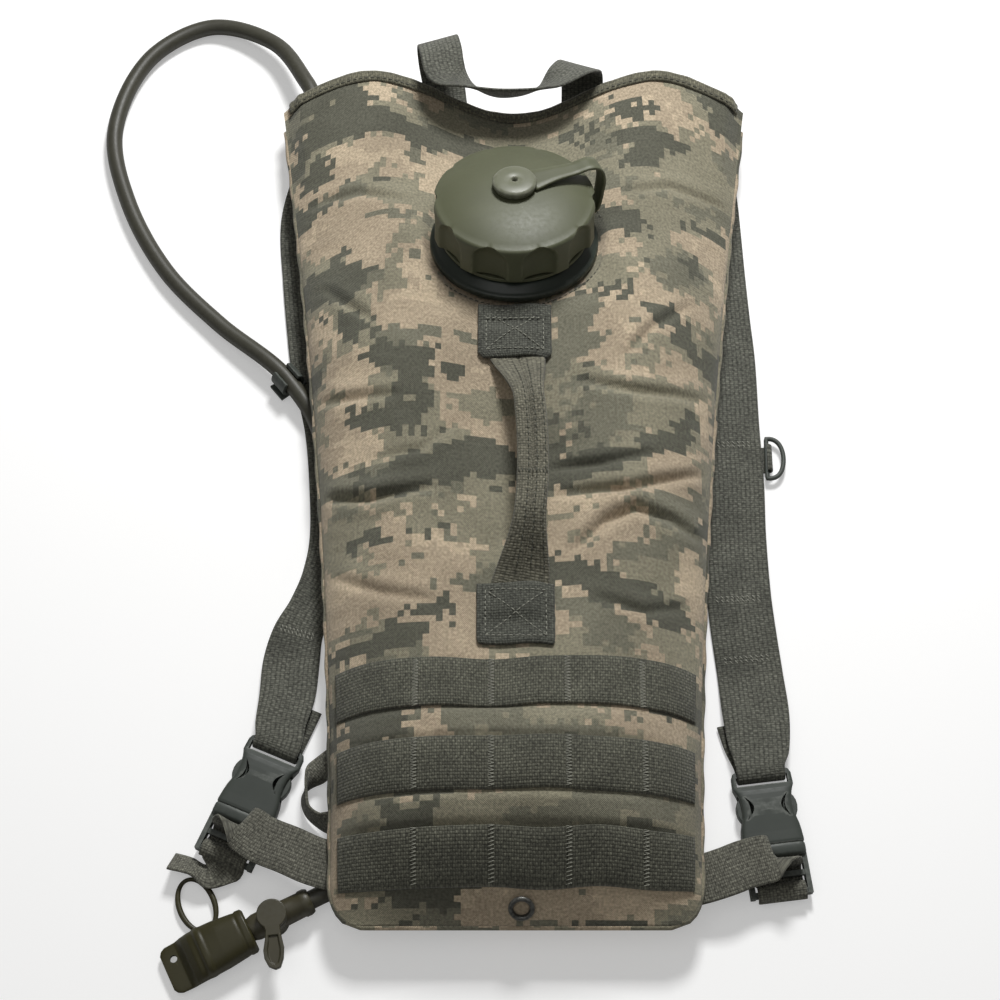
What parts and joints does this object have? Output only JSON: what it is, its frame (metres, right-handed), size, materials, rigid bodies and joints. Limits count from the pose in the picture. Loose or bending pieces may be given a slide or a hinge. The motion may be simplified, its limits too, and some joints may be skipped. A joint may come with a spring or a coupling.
{
  "type": "hydration pack",
  "caption": "Flat insulated water carrier with a screw-capped reservoir, drink hose with bite valve, carry handle, webbing rows, hang loop and shoulder straps with side-release buckles.",
  "frame": {"origin": "middle of the flat underside of the back panel, where the pack lies on a surface", "axes": "+Z out of the pack's front, +Y towards its top edge, +X to the right as seen from the front"},
  "size_m": [0.3937, 0.5932, 0.0864],
  "materials": {
    "camouflage_cloth": "woven nylon with a pixel camouflage print",
    "foam": "closed-cell foam",
    "edge_tape": "ribbed woven tape",
    "webbing": "ribbed woven nylon",
    "cap_plastic": "moulded, satin",
    "seal_rubber": "smooth",
    "eyelet_metal": "black enamel",
    "bag_film": "soft film",
    "hose_rubber": "satin",
    "valve_rubber": "moulded, satin",
    "mouthpiece": "soft silicone",
    "buckle_plastic": "moulded, fine grain"
  },
  "bodies": {
    "pack": {"back_binding": "edge_tape", "back_insulation": "foam", "back_panel": "camouflage_cloth", "bite_valve": "mouthpiece", "carry_handle": "webbing", "drink_hose": "hose_rubber", "filler_port": "cap_plastic", "front_binding": "edge_tape", "front_insulation": "foam", "front_panel": "camouflage_cloth", "grommet": "eyelet_metal", "grommet_washer": "eyelet_metal", "handle_tab_lower": "webbing", "handle_tab_upper": "webbing", "hang_loop": "webbing", "hose_clip": "buckle_plastic", "hose_inside": "hose_rubber", "lower_strap_left": "webbing", "lower_strap_right": "webbing", "outlet_elbow": "cap_plastic", "plug_left": "buckle_plastic", "plug_right": "buckle_plastic", "reservoir": "bag_film", "ring_keeper": "webbing", "row_lower": "webbing", "row_middle": "webbing", "row_upper": "webbing", "shoulder_strap_left": "webbing", "shoulder_strap_right": "webbing", "side_loop_left": "webbing", "valve_body": "valve_rubber"},
    "cap_lift": {"cap_tether": "cap_plastic", "tether_button": "cap_plastic"},
    "cap": {"filler_cap": "cap_plastic", "cap_seal": "seal_rubber"},
    "buckle_socket_left": {"socket_left": "buckle_plastic"},
    "buckle_socket_right": {"socket_right": "buckle_plastic"},
    "spring_inner_left": {"prong_inner_left": "buckle_plastic"},
    "spring_outer_left": {"prong_outer_left": "buckle_plastic"},
    "spring_inner_right": {"prong_inner_right": "buckle_plastic"},
    "spring_outer_right": {"prong_outer_right": "buckle_plastic"},
    "lever": {"shutoff_lever": "valve_rubber"},
    "cover": {"valve_cover": "valve_rubber"},
    "ring": {"d_ring": "buckle_plastic"}
  },
  "joints": [
    {"name": "cap_rise", "type": "slide", "parent": "pack", "child": "cap_lift", "axis": [0, 0.2672, 0.9636], "range_m": [0, 0.00751]},
    {"name": "cap_turn", "type": "hinge", "parent": "cap_lift", "child": "cap", "pos_m": [0, 0.129, 0.04145], "axis": [0, 0.2672, 0.9636], "range_deg": [0, 540]},
    {"name": "release_left", "type": "slide", "parent": "pack", "child": "buckle_socket_left", "axis": [0.3907, 0.9205, 0], "range_m": [0, 0.028], "deforming": ["shoulder_strap_left", "prong_inner_left", "prong_outer_left"]},
    {"name": "release_right", "type": "slide", "parent": "pack", "child": "buckle_socket_right", "axis": [-0.1219, 0.9925, 0], "range_m": [0, 0.028], "deforming": ["shoulder_strap_right", "prong_inner_right", "prong_outer_right"]},
    {"name": "press_inner_left", "type": "hinge", "parent": "pack", "child": "spring_inner_left", "pos_m": [-0.12879, -0.19568, 0.0054], "axis": [0, 0, 1], "range_deg": [0, 8], "stiffness_Nm_per_rad": 0.5},
    {"name": "press_outer_left", "type": "hinge", "parent": "pack", "child": "spring_outer_left", "pos_m": [-0.14683, -0.18802, 0.0054], "axis": [0, 0, -1], "range_deg": [0, 8], "stiffness_Nm_per_rad": 0.5},
    {"name": "press_outer_right", "type": "hinge", "parent": "pack", "child": "spring_outer_right", "pos_m": [0.14041, -0.20744, 0.0054], "axis": [0, 0, 1], "range_deg": [0, 8], "stiffness_Nm_per_rad": 0.5},
    {"name": "press_inner_right", "type": "hinge", "parent": "pack", "child": "spring_inner_right", "pos_m": [0.12095, -0.20983, 0.0054], "axis": [0, 0, -1], "range_deg": [0, 8], "stiffness_Nm_per_rad": 0.5},
    {"name": "lever_turn", "type": "hinge", "parent": "pack", "child": "lever", "pos_m": [-0.12109, -0.24799, 0.0178], "axis": [0, 0, 1], "range_deg": [0, 90]},
    {"name": "cover_pull", "type": "slide", "parent": "pack", "child": "cover", "axis": [-0.891, -0.454, 0], "range_m": [0, 0.032]},
    {"name": "ring_swing", "type": "hinge", "parent": "pack", "child": "ring", "pos_m": [0.13995, 0.01001, 0.00355], "axis": [-0.0175, -0.9998, 0], "range_deg": [0, 100]}
  ],
  "couplings": [
    {"joint": "cap_rise", "follows": "cap_turn", "m_per_rad": 0.00079577}
  ]
}
